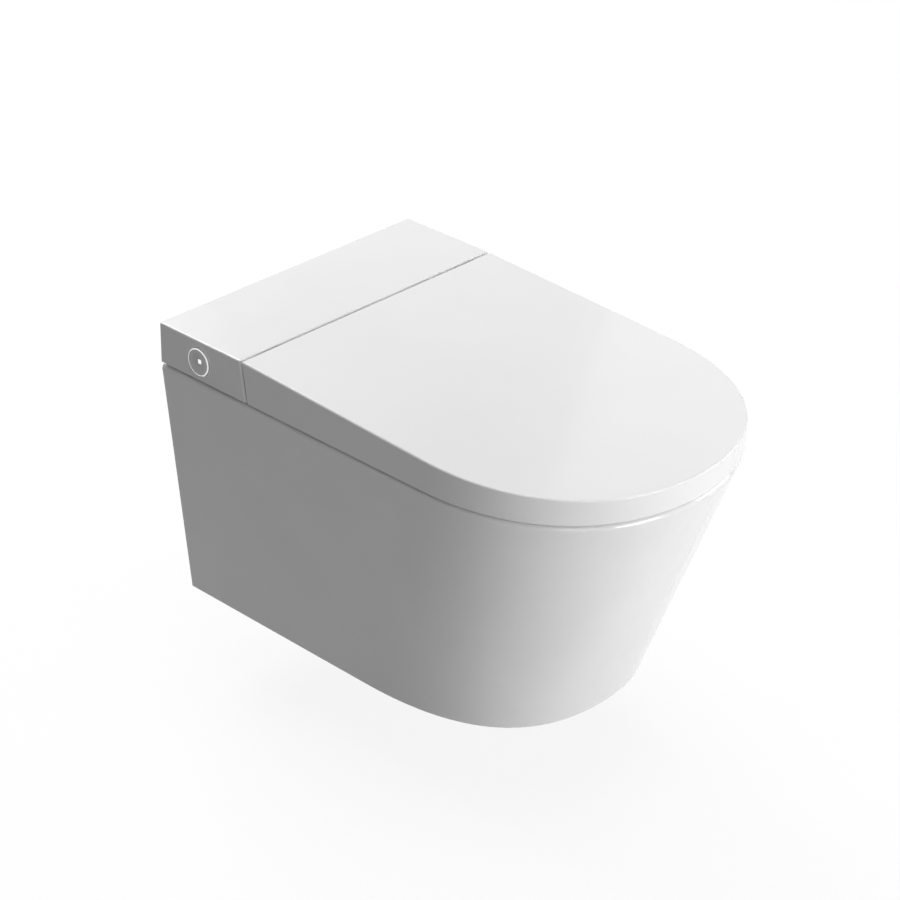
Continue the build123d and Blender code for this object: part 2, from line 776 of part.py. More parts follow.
# Seat: top face parallel to the lid, rounded opening, two lugs on the hinge pins
seat_rear_y = hinge_y - seat_rear_gap
seat_half = half_width - lid_skirt - seat_side_gap
seat_length = overall_length - lid_skirt - seat_side_gap
seat_drop = lid_skin + lid_to_seat
with BuildPart() as seat:
    with BuildSketch(Plane.XY.offset(seat_bottom_z)):
        d_outline(seat_half, straight_side, seat_length, front_fullness)
        with Locations((0, seat_rear_y + 100)):
            Rectangle(2 * half_width, 200, mode=Mode.SUBTRACT)
        for corner_x in (-half_width, half_width):
            with Locations((corner_x, seat_rear_y)):
                RectangleRounded(
                    2 * (half_width - post_outer_x + 2), 2 * seat_shoulder, 10, mode=Mode.SUBTRACT
                )
        egg_outline(
            seat_opening_half,
            seat_opening_rear,
            seat_opening_middle,
            seat_opening_front,
            mode=Mode.SUBTRACT,
        )
    extrude(amount=housing_height)
    with BuildSketch(Plane.YZ):
        side_profile(
            (0, lid_top(0) - seat_drop),
            (0, seat_bottom_z),
            (-overall_length, seat_bottom_z),
            (-overall_length, lid_top(-overall_length) - seat_drop),
        )
    extrude(amount=half_width, both=True, mode=Mode.INTERSECT)
    fillet(top_face(seat).inner_wires()[0].edges(), seat_inner_radius)
    fillet(top_face(seat).outer_wire().edges(), seat_edge_radius)
    for lug_start in (lug_inner_x, -lug_outer_x):
        with BuildSketch(Plane.YZ.offset(lug_start)):
            with Locations((hinge_y, hinge_z)):
                Circle(eye_radius)
            side_profile(
                (hinge_y, hinge_z + eye_radius),
                (hinge_y, hinge_z - eye_radius),
                (seat_rear_y - 12, seat_bottom_z + 12),
                (seat_rear_y - 30, lid_top(seat_rear_y - 30) - seat_drop),
            )
        extrude(amount=lug_width)
        with BuildSketch(Plane.YZ.offset(lug_start)):
            with Locations((hinge_y, hinge_z)):
                Circle(pin_radius + pin_running)
        extrude(amount=lug_width, mode=Mode.SUBTRACT)
seat.part.label = "seat"
export_step(seat.part, "parts/seat.step")

# Rubber pads under the seat, just clear of the rim
seat_pad_x = seat_half - 18.5
seat_pad_front_x = seat_half - 87.5
seat_pad_front_y = 46.0 - seat_length
seat_pad_places = [
    (-seat_pad_x, -285),
    (seat_pad_x, -285),
    (-seat_pad_front_x, seat_pad_front_y),
    (seat_pad_front_x, seat_pad_front_y),
]
with BuildPart() as seat_bumpers:
    with BuildSketch(Plane.XY.offset(seat_bottom_z)):
        with Locations(*seat_pad_places):
            SlotOverall(26, 10)
    extrude(amount=contact_gap - seat_lift)
seat_bumpers.part.label = "seat_bumpers"
export_step(seat_bumpers.part, "parts/seat_bumpers.step")

# Rubber pads under the lid, just clear of the seat
lid_pad_x = seat_half - 40.5
lid_pad_front_x = seat_half - 89.5
lid_pad_front_y = 48.0 - seat_length
lid_pad_places = [
    (-lid_pad_x, -262),
    (lid_pad_x, -262),
    (-lid_pad_front_x, lid_pad_front_y),
    (lid_pad_front_x, lid_pad_front_y),
]
lid_pad_radius = 6.0
pad_normal = Vector(0, -lid_slope, 1).normalized()
with BuildPart() as lid_bumpers:
    for pad_x, pad_y in lid_pad_places:
        pad_top = (pad_x, pad_y, lid_top(pad_y) - lid_skin)
        with BuildSketch(Plane(origin=pad_top, x_dir=(1, 0, 0), z_dir=pad_normal)):
            Circle(lid_pad_radius)
        extrude(amount=contact_gap - lid_to_seat * pad_normal.Z)
lid_bumpers.part.label = "lid_bumpers"
export_step(lid_bumpers.part, "parts/lid_bumpers.step")

# Nozzle: everything lies along a tilted line, drawn on planes square to it
nozzle_start = Vector(0, nozzle_rear_y, nozzle_rear_z)
along = Vector(0, -cos(tilt), -sin(tilt))
above = Vector(0, -sin(tilt), cos(tilt))


def across_nozzle(distance):
    """Plane square to the arm, at a distance from its rear end: X across, Y above."""
    return Plane(origin=nozzle_start + along * distance, x_dir=(1, 0, 0), z_dir=along)


def beside_nozzle(height):
    """Plane along the arm at a height above its centre line: X along, Y across."""
    return Plane(origin=nozzle_start + above * height, x_dir=along, z_dir=above)


# Wash arm with a rack along one side
arm_corner = 3.0
rack_root = arm_width / 2
pitch_line = rack_root + 1.25 * gear_module
tooth_half = (tooth_pitch - gear_backlash) / 4
flank = tan(radians(20))
rack_teeth = round(nozzle_travel / tooth_pitch) + 4
rack_first = pinion_place + tooth_pitch * (2.5 - rack_teeth)
with BuildPart() as nozzle_arm:
    with BuildSketch(across_nozzle(0)):
        RectangleRounded(arm_width, arm_height, arm_corner)
    extrude(amount=arm_length)
    with BuildSketch(beside_nozzle(-pinion_width / 2)):
        for tooth in range(rack_teeth):
            with Locations((rack_first + (tooth - 1) * tooth_pitch, pitch_line)):
                root_half = tooth_half + flank * 1.25 * gear_module
                tip_half = tooth_half - flank * gear_module
                Polygon(
                    (-root_half, -1.5 * gear_module),
                    (-root_half, -1.25 * gear_module),
                    (-tip_half, gear_module),
                    (tip_half, gear_module),
                    (root_half, -1.25 * gear_module),
                    (root_half, -1.5 * gear_module),
                    align=None,
                )
    extrude(amount=pinion_width)
nozzle_arm.part.label = "nozzle_arm"
export_step(nozzle_arm.part, "parts/nozzle_arm.step")

# Spray head with three jets
jet_radius = 0.8
with BuildPart() as nozzle_tip:
    with BuildSketch(across_nozzle(arm_length)):
        RectangleRounded(arm_width - 1, arm_height - 1, arm_corner)
    extrude(amount=tip_length)
    fillet(nozzle_tip.faces().sort_by(Axis(nozzle_start, along))[-1].edges(), 2.5)
    with BuildSketch(beside_nozzle(arm_height / 2)):
        with Locations((arm_length + tip_length / 2, 0)):
            with GridLocations(0, 3, 1, 3):
                Circle(jet_radius)
    extrude(amount=-4, mode=Mode.SUBTRACT)
nozzle_tip.part.label = "nozzle_tip"
export_step(nozzle_tip.part, "parts/nozzle_tip.step")

# Pinion and its shaft
pinion_plane_y = pitch_line + pinion_radius
shaft_radius = 2.0
with BuildPart() as drive_pinion:
    with BuildSketch(beside_nozzle(-pinion_width / 2)):
        with Locations((pinion_place, pinion_plane_y)):
            Circle(pinion_radius - 1.25 * gear_module)
            with PolarLocations(pinion_radius, pinion_teeth, start_angle=-90):
                Polygon(
                    (-1.5 * gear_module, -tooth_half - flank * 1.25 * gear_module),
                    (gear_module, -tooth_half + flank * gear_module),
                    (gear_module, tooth_half - flank * gear_module),
                    (-1.5 * gear_module, tooth_half + flank * 1.25 * gear_module),
                    align=None,
                )
    extrude(amount=pinion_width)
    with BuildSketch(beside_nozzle(0)):
        with Locations((pinion_place, pinion_plane_y)):
            Circle(shaft_radius)
    extrude(amount=plate_height + guide_wall + motor_height / 2)
drive_pinion.part.label = "drive_pinion"
export_step(drive_pinion.part, "parts/drive_pinion.step")

# Guide: channel open on the rack's side, with the motor's plate and a foot on the tray
guide_start = 4.0
guide_outer = arm_width / 2 + guide_gap + guide_wall
guide_foot_front = -50.0
guide_foot_rear = -14.0
rib_overlap = 0.2
with BuildPart() as nozzle_guide:
    with BuildSketch(across_nozzle(guide_start)):
        with Locations((-guide_outer, 0)):
            Rectangle(rack_root + guide_outer, 2 * plate_height, align=(Align.MIN, Align.CENTER))
        with Locations((guide_wall - guide_outer, 0)):
            Rectangle(
                2 * guide_outer,
                arm_height + 2 * guide_gap,
                align=(Align.MIN, Align.CENTER),
                mode=Mode.SUBTRACT,
            )
    extrude(amount=guide_length)
    with BuildSketch(beside_nozzle(plate_height)):
        plate_far = pinion_plane_y + motor_radius
        with Locations((pinion_place, (plate_far - guide_outer) / 2)):
            Rectangle(2 * motor_radius + 2, plate_far + guide_outer)
        with Locations((pinion_place, pinion_plane_y)):
            Circle(shaft_radius + 0.3, mode=Mode.SUBTRACT)
    extrude(amount=guide_wall)
    for rib_x in (-guide_outer, rack_root - guide_wall):
        with BuildSketch(Plane.YZ.offset(rib_x)):
            side_profile(
                (guide_foot_rear, tray_top_z),
                (guide_foot_rear, guide_underside(guide_foot_rear) + rib_overlap),
                (guide_foot_front, guide_underside(guide_foot_front) + rib_overlap),
                (guide_foot_front, tray_top_z),
            )
        extrude(amount=guide_wall)
    with BuildSketch(Plane.XY.offset(tray_top_z)):
        with Locations((0, (guide_foot_rear + guide_foot_front) / 2)):
            Rectangle(2 * guide_outer + 14, guide_foot_rear - guide_foot_front)
    extrude(amount=guide_wall)
nozzle_guide.part.label = "nozzle_guide"
export_step(nozzle_guide.part, "parts/nozzle_guide.step")

# Stepping motor on the guide's plate
with BuildPart() as nozzle_motor:
    with BuildSketch(beside_nozzle(plate_height + guide_wall)):
        with Locations((pinion_place, pinion_plane_y)):
            Circle(motor_radius)
            Circle(shaft_radius + pin_running, mode=Mode.SUBTRACT)
    extrude(amount=motor_height / 2 + 1)
    with BuildSketch(beside_nozzle(plate_height + guide_wall + motor_height / 2 + 1)):
        with Locations((pinion_place, pinion_plane_y)):
            Circle(motor_radius)
    extrude(amount=motor_height / 2 - 1)
nozzle_motor.part.label = "nozzle_motor"
export_step(nozzle_motor.part, "parts/nozzle_motor.step")

# Flow heater
heater_x = 68.0
heater_half_width = 28.0
heater_rear = -8.0
heater_front = -60.0
heater_height = 30.0
pipe_z = tray_top_z + 13.0
with BuildPart() as water_heater:
    with BuildSketch(Plane.XY.offset(tray_top_z)):
        with Locations((heater_x, (heater_front + heater_rear) / 2)):
            RectangleRounded(2 * heater_half_width, heater_rear - heater_front, 5)
    extrude(amount=heater_height)
    fillet(top_face(water_heater).edges(), 3)
water_heater.part.label = "water_heater"
export_step(water_heater.part, "parts/water_heater.step")

# Shut-off valve behind the supply nipple, with its coil
valve_y = -42.0
valve_width = 36.0
valve_depth = 28.0
valve_height = 34.0
coil_radius = 11.0
coil_length = 8.0
with BuildPart() as solenoid_valve:
    with BuildSketch(Plane.XY.offset(tray_top_z)):
        with Locations((water_x, valve_y)):
            RectangleRounded(valve_width, valve_depth, 4)
    extrude(amount=valve_height)
    with BuildSketch(Plane.XZ.offset(valve_depth / 2 - valve_y)):
        with Locations((water_x, connection_z)):
            Circle(coil_radius)
    extrude(amount=coil_length)
solenoid_valve.part.label = "solenoid_valve"
export_step(solenoid_valve.part, "parts/solenoid_valve.step")

# Pump lying along Y on a cradle
pump_x = water_x + 2.0
pump_rear = -68.0
pump_front = -104.0
pump_radius = 14.0
pump_axis_z = tray_top_z + pump_radius + 2.0
with BuildPart() as water_pump:
    with BuildSketch(Plane.XZ.offset(-pump_rear)):
        with Locations((pump_x, pump_axis_z)):
            Circle(pump_radius)
        with Locations((pump_x, tray_top_z + 4)):
            Rectangle(20, 8)
    extrude(amount=pump_rear - pump_front)
water_pump.part.label = "water_pump"
export_step(water_pump.part, "parts/water_pump.step")

# Rigid pipes from valve to heater and from heater to pump
pipe_radius = 4.0
with BuildPart() as feed_pipe:
    with BuildSketch(Plane.YZ.offset(heater_x + heater_half_width)):
        with Locations((valve_y, pipe_z)):
            Circle(pipe_radius)
    extrude(amount=water_x - valve_width / 2 - heater_x - heater_half_width)
feed_pipe.part.label = "feed_pipe"
export_step(feed_pipe.part, "parts/feed_pipe.step")

pump_middle = (pump_rear + pump_front) / 2
pump_side_x = pump_x - (pump_radius**2 - (pipe_z - pump_axis_z) ** 2) ** 0.5
with BuildPart() as pump_pipe:
    with BuildLine() as pump_path:
        FilletPolyline(
            (heater_x, heater_front, pipe_z),
            (heater_x, pump_middle, pipe_z),
            (pump_side_x - 0.7, pump_middle, pipe_z),
            radius=12,
        )
    with BuildSketch(Plane.XZ.offset(-heater_front)):
        with Locations((heater_x, pipe_z)):
            Circle(pipe_radius)
    sweep(path=pump_path.line)
pump_pipe.part.label = "pump_pipe"
export_step(pump_pipe.part, "parts/pump_pipe.step")

# Supply nipple on the valve, pointing to the wall
nipple_rear = 4.0
nipple_length = -nipple_rear - valve_y - valve_depth / 2
supply_nut_radius = 14.0
nut_height = 4.0
with BuildPart() as water_inlet:
    with BuildSketch(Plane.XZ.offset(nipple_rear)):
        with Locations((water_x, connection_z)):
            Circle(supply_radius)
    extrude(amount=nipple_length)
    with BuildSketch(Plane.XZ.offset(nipple_rear + nipple_length)):
        with Locations((water_x, connection_z)):
            RegularPolygon(supply_nut_radius, 6)
    extrude(amount=-nut_height)
    with BuildSketch(Plane.XZ.offset(nipple_rear)):
        with Locations((water_x, connection_z)):
            Circle(supply_bore)
    extrude(amount=nipple_length, mode=Mode.SUBTRACT)
water_inlet.part.label = "water_inlet"
export_step(water_inlet.part, "parts/water_inlet.step")

# Cable gland in the tray's rear wall, with a nut on each end
gland_length = 27.0
gland_nut_radius = 11.0
with BuildPart() as power_gland:
    with BuildSketch(Plane.XZ.offset(tray_rear)):
        with Locations((-water_x, connection_z)):
            Circle(gland_radius)
    extrude(amount=gland_length)
    for nut_start in (tray_rear + tray_wall, tray_rear + gland_length - nut_height):
        with BuildSketch(Plane.XZ.offset(nut_start)):
            with Locations((-water_x, connection_z)):
                RegularPolygon(gland_nut_radius, 6)
        extrude(amount=nut_height)
    with BuildSketch(Plane.XZ.offset(tray_rear)):
        with Locations((-water_x, connection_z)):
            Circle(gland_bore)
    extrude(amount=gland_length, mode=Mode.SUBTRACT)
power_gland.part.label = "power_gland"
export_step(power_gland.part, "parts/power_gland.step")

# Control board on its four posts
with BuildPart() as control_board:
    with BuildSketch(Plane.XY.offset(tray_top_z + board_lift)):
        with Locations((board_x, board_y)):
            Rectangle(board_width, board_depth)
    extrude(amount=board_thickness)
    with BuildSketch(Plane.XY.offset(tray_top_z + board_lift + board_thickness)):
        with Locations((board_x - 24, board_y)):
            Rectangle(16, 16)
        with Locations((board_x + 12, board_y - 6), (board_x + 34, board_y + 4)):
            Rectangle(12, 18)
    extrude(amount=5)
control_board.part.label = "control_board"
export_step(control_board.part, "parts/control_board.step")

# Power supply block
supply_block_place = (96.5 - half_width, -30.0)
supply_block_width = 62.0
supply_block_depth = 44.0
supply_block_height = 28.0
with BuildPart() as power_supply:
    with BuildSketch(Plane.XY.offset(tray_top_z)):
        with Locations(supply_block_place):
            RectangleRounded(supply_block_width, supply_block_depth, 3)
    extrude(amount=supply_block_height)
power_supply.part.label = "power_supply"
export_step(power_supply.part, "parts/power_supply.step")

# Knob: planes square to the housing's side and through the knob's axis
knob_centre = (-half_width, knob_y, knob_z)


def knob_face(height):
    """Plane parallel to the housing's side, at a height outwards from it."""
    return Plane(origin=(-half_width - height, knob_y, knob_z), x_dir=(0, 1, 0), z_dir=(-1, 0, 0))


plunger_radius = 3.0
stem_radius = 4.0
dial_back = -knob_depth
plunger_tip = -4.0
cup_floor = -16.0
cup_wall = 2.0
stem_end = -24.0
knob_rim_width = 1.5
rim_chamfer = 0.7
dish_edge = knob_radius - knob_rim_width
dish_radius = (dish_edge**2 + knob_dish**2) / (2 * knob_dish)
with BuildPart() as knob_dial:
    with BuildSketch(Plane(origin=knob_centre, x_dir=(0, 1, 0), z_dir=(0, 0, 1))):
        with BuildLine():
            Polyline(
                (0, knob_proud - knob_dish),
                (0, dial_back),
                (knob_radius, dial_back),
                (knob_radius, knob_proud - rim_chamfer),
                (knob_radius - rim_chamfer, knob_proud),
                (dish_edge, knob_proud),
            )
            RadiusArc((dish_edge, knob_proud), (0, knob_proud - knob_dish), dish_radius)
        make_face()
    revolve(axis=Axis(knob_centre, (-1, 0, 0)))
    with BuildSketch(knob_face(dial_back)):
        Circle(plunger_radius + pin_running)
    extrude(amount=plunger_tip - dial_back, mode=Mode.SUBTRACT)
    with BuildSketch(knob_face(knob_proud)):
        RectangleRounded(light_side + 0.1, light_side + 0.1, 0.8)
    extrude(amount=-light_depth, mode=Mode.SUBTRACT)
knob_dial.part.label = "knob_dial"
export_step(knob_dial.part, "parts/knob_dial.step")

with BuildPart() as knob_light:
    with BuildSketch(knob_face(knob_proud - light_depth)):
        RectangleRounded(light_side, light_side, 0.75)
    extrude(amount=light_depth - knob_dish + 0.1)
knob_light.part.label = "knob_light"
export_step(knob_light.part, "parts/knob_light.step")

with BuildPart() as knob_plunger:
    with BuildSketch(knob_face(plunger_tip - contact_gap)):
        Circle(plunger_radius)
    extrude(amount=dial_back - plunger_tip)
    with BuildSketch(knob_face(dial_back - contact_gap)):
        Circle(6)
    extrude(amount=-2)
    with BuildSketch(knob_face(dial_back - contact_gap)):
        Circle(stem_radius)
    extrude(amount=stem_end - dial_back + contact_gap)
knob_plunger.part.label = "knob_plunger"
export_step(knob_plunger.part, "parts/knob_plunger.step")

with BuildPart() as knob_housing:
    with BuildSketch(knob_face(-cover_wall)):
        Circle(knob_bore + cup_wall)
    extrude(amount=cup_floor - cup_wall + cover_wall)
    with BuildSketch(knob_face(-cover_wall)):
        Circle(knob_bore)
    extrude(amount=cup_floor + cover_wall, mode=Mode.SUBTRACT)
    with BuildSketch(knob_face(0)):
        Circle(stem_radius + pin_running)
    extrude(amount=-30, mode=Mode.SUBTRACT)
knob_housing.part.label = "knob_housing"
export_step(knob_housing.part, "parts/knob_housing.step")

with BuildPart() as knob_switch:
    with BuildSketch(knob_face(cup_floor - cup_wall)):
        RectangleRounded(18, 18, 2)
    extrude(amount=-12)
    with BuildSketch(knob_face(cup_floor - cup_wall)):
        Circle(stem_radius + pin_running)
    extrude(amount=-9, mode=Mode.SUBTRACT)
knob_switch.part.label = "knob_switch"
export_step(knob_switch.part, "parts/knob_switch.step")
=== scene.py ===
import math

import bpy
from mathutils import Matrix, Vector


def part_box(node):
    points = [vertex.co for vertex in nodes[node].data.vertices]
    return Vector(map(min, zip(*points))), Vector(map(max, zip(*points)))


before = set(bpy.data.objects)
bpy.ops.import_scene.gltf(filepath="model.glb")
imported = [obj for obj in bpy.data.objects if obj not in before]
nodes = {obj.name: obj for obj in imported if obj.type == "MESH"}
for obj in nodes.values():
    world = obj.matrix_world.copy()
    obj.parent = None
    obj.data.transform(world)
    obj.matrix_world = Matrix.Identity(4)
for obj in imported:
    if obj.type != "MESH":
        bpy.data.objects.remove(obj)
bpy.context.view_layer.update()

scene = bpy.context.scene

# Camera: turned about the pan's middle, with the lens that the photograph was fitted to
aim = Vector((0.0, -0.280, -0.046))
camera_turn = math.radians(-46.992)
camera_height = math.radians(29.408)
camera_roll = math.radians(1.123)
camera_distance = 3.03038
aim_right = 0.019305
aim_up = -0.051972
lens_px = 2762.97
frame_px = 900.0
film_mm = 36.0

# Floor under a pan fixed at its usual height, and the lamps around it
floor_z = -0.316
lamps = {
    # name: place, width, height, watts
    "top": ((0.10, -0.35, 2.30), 2.4, 2.4, 31.5),
    "right": ((1.75, -1.75, 0.20), 1.0, 0.9, 10.8),
    "front": ((0.10, -2.80, 0.15), 1.2, 0.8, 35.0),
    "front_left": ((-1.40, -2.30, 0.90), 1.2, 1.4, 9.7),
    "back": ((0.30, 1.70, 1.60), 1.8, 1.0, 38.5),
    "far_right": ((2.70, 0.75, 2.00), 1.5, 1.3, 5.0),
}
ambient = 0.02

# Floor: lit paint and an even lift near the pan, plain white further out
floor_half = 8.0
floor_near = 0.5  # radius where the paint starts to fade
floor_far = 1.3  # radius where the floor is plain white
floor_paint = (0.14, 0.15)
floor_lift = 0.87
floor_bounce = 0.28  # grey that the floor has for light that the camera doesn't see
white = (1.0, 1.0, 1.0, 1.0)

# Shading: seams closer than this are one, and edges sharper than this stay crisp
weld_distance = 0.000005
crisp_angle = math.radians(38.0)

# Where a material changes on its node
clay_start_y = -0.0003  # bare clay behind this, on the wall face
dial_rim_start = 0.01475  # polished rim outside this radius


def add_camera():
    """Camera with the photograph's place and lens."""
    right = Vector((math.cos(camera_turn), math.sin(camera_turn), 0.0))
    back = Vector((
        math.sin(camera_turn) * math.cos(camera_height),
        -math.cos(camera_turn) * math.cos(camera_height),
        math.sin(camera_height),
    ))
    up = back.cross(right)
    turned_right = math.cos(camera_roll) * right + math.sin(camera_roll) * up
    turned_up = -math.sin(camera_roll) * right + math.cos(camera_roll) * up
    data = bpy.data.cameras.new("camera")
    data.sensor_width = film_mm
    data.lens = lens_px * film_mm / frame_px
    data.clip_end = 50.0
    camera = bpy.data.objects.new("camera", data)
    place = aim + camera_distance * back - aim_right * turned_right - aim_up * turned_up
    turn = Matrix((turned_right, turned_up, back)).transposed()
    camera.matrix_world = Matrix.Translation(place) @ turn.to_4x4()
    scene.collection.objects.link(camera)
    scene.camera = camera


def add_lamps():
    """Soft rectangular lamps that all look at the pan's middle."""
    for name, (place, width, height, watts) in lamps.items():
        data = bpy.data.lights.new(name, "AREA")
        data.shape = "RECTANGLE"
        data.size = width
        data.size_y = height
        data.energy = watts
        lamp = bpy.data.objects.new(name, data)
        lamp.location = place
        lamp.rotation_euler = (aim - Vector(place)).to_track_quat("-Z", "Y").to_euler()
        scene.collection.objects.link(lamp)


class Tree:
    """Short way to write a material's nodes."""

    def __init__(self, name):
        self.material = bpy.data.materials.new(name)
        self.material.use_nodes = True
        self.tree = self.material.node_tree
        self.tree.nodes.clear()
        self.output = self.add("ShaderNodeOutputMaterial")

    def add(self, kind, links=None, **values):
        """New node: links go into its sockets, values are socket defaults or properties."""
        node = self.tree.nodes.new(kind)
        for key, value in values.items():
            if key in node.inputs:
                node.inputs[key].default_value = value
            else:
                setattr(node, key, value)
        for key, source in (links or {}).items():
            self.tree.links.new(source, node.inputs[key])
        return node

    def place(self):
        """Coordinates that stay with the object, in metres."""
        return self.add("ShaderNodeTexCoord").outputs["Object"]

    def noise(self, scale, detail=3.0, stretch=(1.0, 1.0, 1.0)):
        """Noise over the object, in units per metre."""
        mapping = self.add("ShaderNodeMapping", {"Vector": self.place()}, Scale=stretch)
        noise = self.add("ShaderNodeTexNoise", {"Vector": mapping.outputs[0]}, Scale=scale, Detail=detail)
        return noise.outputs["Fac"]

    def ramp(self, source, low, high, start=0.3, end=0.7):
        """Colours or greys between two ends of a factor."""
        ramp = self.add("ShaderNodeValToRGB", {"Fac": source})
        for element, place, value in zip(ramp.color_ramp.elements, (start, end), (low, high)):
            element.position = place
            element.color = (*value, 1.0) if isinstance(value, tuple) else (value, value, value, 1.0)
        return ramp.outputs["Color"]

    def mix(self, factor, first, second):
        """First colour turning into the second."""
        mix = self.add("ShaderNodeMix", data_type="RGBA")
        self.tree.links.new(factor, mix.inputs[0])
        for socket, value in ((mix.inputs[6], first), (mix.inputs[7], second)):
            if isinstance(value, tuple):
                socket.default_value = (*value, 1.0)
            else:
                self.tree.links.new(value, socket)
        return mix.outputs[2]

    def bump(self, source, height, strength=1.0):
        """Surface relief of a height in metres."""
        node = self.add("ShaderNodeBump", {"Height": source}, Strength=strength, Distance=height)
        return node.outputs["Normal"]

    def surface(self, links, **values):
        """Principled shader, joined to the output."""
        shader = self.add("ShaderNodeBsdfPrincipled", links)
        for key, value in values.items():
            shader.inputs[key.replace("_", " ")].default_value = value
        self.tree.links.new(shader.outputs[0], self.output.inputs["Surface"])
        return self.material


def glaze():
    """White glaze over fired clay: slow waves, faint specks, bare clay where it meets the wall."""
    t = Tree("glazed_ceramic")
    tint = t.ramp(t.noise(9.0, 4.0), (0.80, 0.80, 0.80), (0.84, 0.84, 0.84))
    specks = t.ramp(t.noise(900.0, 1.0), 0.0, 1.0, 0.78, 0.82)
    speckled = t.mix(specks, tint, (0.71, 0.71, 0.705))
    depth = t.add("ShaderNodeSeparateXYZ", {"Vector": t.place()}).outputs["Y"]
    bare = t.add("ShaderNodeMath", {0: depth}, operation="GREATER_THAN")
    bare.inputs[1].default_value = clay_start_y
    colour = t.mix(bare.outputs[0], speckled, (0.66, 0.61, 0.54))
    gloss = t.mix(bare.outputs[0], t.ramp(t.noise(22.0, 3.0), 0.07, 0.12), (0.85, 0.85, 0.85))
    relief = t.bump(t.noise(7.0, 2.0), 0.0012, 0.35)
    return t.surface(
        {"Base Color": colour, "Roughness": gloss, "Normal": relief},
        IOR=1.52, Coat_Weight=0.4, Coat_Roughness=0.03,
    )


def moulding(name, colour, rough=(0.16, 0.22), grain=1800.0, relief=0.00002, coat=0.0):
    """Moulded plastic: faint tint, slightly uneven gloss, very fine grain."""
    t = Tree(name)
    darker = tuple(0.965 * channel for channel in colour)
    tint = t.ramp(t.noise(5.0, 3.0), darker, colour)
    gloss = t.ramp(t.noise(30.0, 4.0), *rough)
    normal = t.bump(t.noise(grain, 2.0), relief, 0.5)
    return t.surface(
        {"Base Color": tint, "Roughness": gloss, "Normal": normal},
        IOR=1.49, Coat_Weight=coat, Coat_Roughness=0.04,
    )


def rubber(name, colour):
    """Moulded rubber with a dusty, matt skin."""
    t = Tree(name)
    lighter = tuple(min(1.0, 1.35 * channel) for channel in colour)
    tint = t.ramp(t.noise(160.0, 6.0), colour, lighter)
    gloss = t.ramp(t.noise(400.0, 3.0), 0.62, 0.82)
    normal = t.bump(t.noise(2600.0, 3.0), 0.00006, 0.6)
    return t.surface({"Base Color": tint, "Roughness": gloss, "Normal": normal}, IOR=1.45)


def metal(name, colour, stretch, rough=(0.29, 0.42)):
    """Metal with fine lines along one direction."""
    t = Tree(name)
    lines = t.noise(240.0, 4.0, stretch)
    darker = tuple(0.82 * channel for channel in colour)
    tint = t.ramp(lines, darker, colour)
    gloss = t.ramp(lines, *rough)
    normal = t.bump(lines, 0.00003, 0.5)
    return t.surface({"Base Color": tint, "Roughness": gloss, "Normal": normal}, Metallic=1.0)


def board():
    """Green circuit board with copper tracks under its lacquer."""
    t = Tree("board")
    tracks = t.add("ShaderNodeTexBrick", {"Vector": t.place()}, Scale=90.0)
    tracks.inputs["Color1"].default_value = (0.012, 0.11, 0.045, 1.0)
    tracks.inputs["Color2"].default_value = (0.016, 0.13, 0.055, 1.0)
    tracks.inputs["Mortar"].default_value = (0.05, 0.22, 0.10, 1.0)
    tracks.inputs["Mortar Size"].default_value = 0.03
    gloss = t.ramp(t.noise(50.0), 0.29, 0.42)
    normal = t.bump(tracks.outputs["Fac"], 0.00004, 0.5)
    return t.surface(
        {"Base Color": tracks.outputs["Color"], "Roughness": gloss, "Normal": normal}, IOR=1.5
    )


def dial():
    """Dished plastic dial inside a polished metal rim."""
    t = Tree("knob_plastic")
    low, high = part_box("knob_dial")
    middle = tuple(-(a + b) / 2 for a, b in zip(low, high))
    centred = t.add("ShaderNodeVectorMath", {0: t.place()}, operation="ADD")
    centred.inputs[1].default_value = middle
    flat = t.add("ShaderNodeVectorMath", {0: centred.outputs[0]}, operation="MULTIPLY")
    flat.inputs[1].default_value = (0.0, 1.0, 1.0)
    ring = t.add("ShaderNodeVectorMath", {0: flat.outputs[0]}, operation="LENGTH")
    polished = t.add("ShaderNodeMath", {0: ring.outputs["Value"]}, operation="GREATER_THAN")
    polished.inputs[1].default_value = dial_rim_start
    colour = t.mix(polished.outputs[0], t.ramp(t.noise(5.0), 0.76, 0.80), (0.80, 0.80, 0.81))
    gloss = t.mix(polished.outputs[0], t.ramp(t.noise(30.0, 4.0), 0.19, 0.26), (0.2, 0.2, 0.2))
    normal = t.bump(t.noise(1800.0, 2.0), 0.00001, 0.4)
    return t.surface(
        {"Base Color": colour, "Roughness": gloss, "Metallic": polished.outputs[0], "Normal": normal}, IOR=1.49
    )


def lit_window():
    """Small window lit from behind, with a faintly uneven glow."""
    t = Tree("light_window")
    glow = t.ramp(t.noise(500.0, 2.0), (0.92, 0.94, 0.96), (1.0, 1.0, 1.0))
    return t.surface({"Base Color": glow, "Emission Color": glow}, Emission_Strength=0.75, Roughness=0.25)


def stage_shader(tree, inputs, seen, bounce):
    """One shader for rays that the camera sees by, directly or mirrored, and another for the rest."""
    path = tree.nodes.new("ShaderNodeLightPath")
    by_camera = path.outputs["Is Camera Ray"]
    for name in ("Is Glossy Ray", "Is Transmission Ray"):
        either = tree.nodes.new("ShaderNodeMath")
        either.operation = "MAXIMUM"
        tree.links.new(by_camera, either.inputs[0])
        tree.links.new(path.outputs[name], either.inputs[1])
        by_camera = either.outputs[0]
    mix = tree.nodes.new("ShaderNodeMixShader")
    tree.links.new(by_camera, mix.inputs[0])
    tree.links.new(bounce.outputs[0], mix.inputs[1])
    tree.links.new(seen.outputs[0], mix.inputs[2])
    tree.links.new(mix.outputs[0], inputs["Surface"])


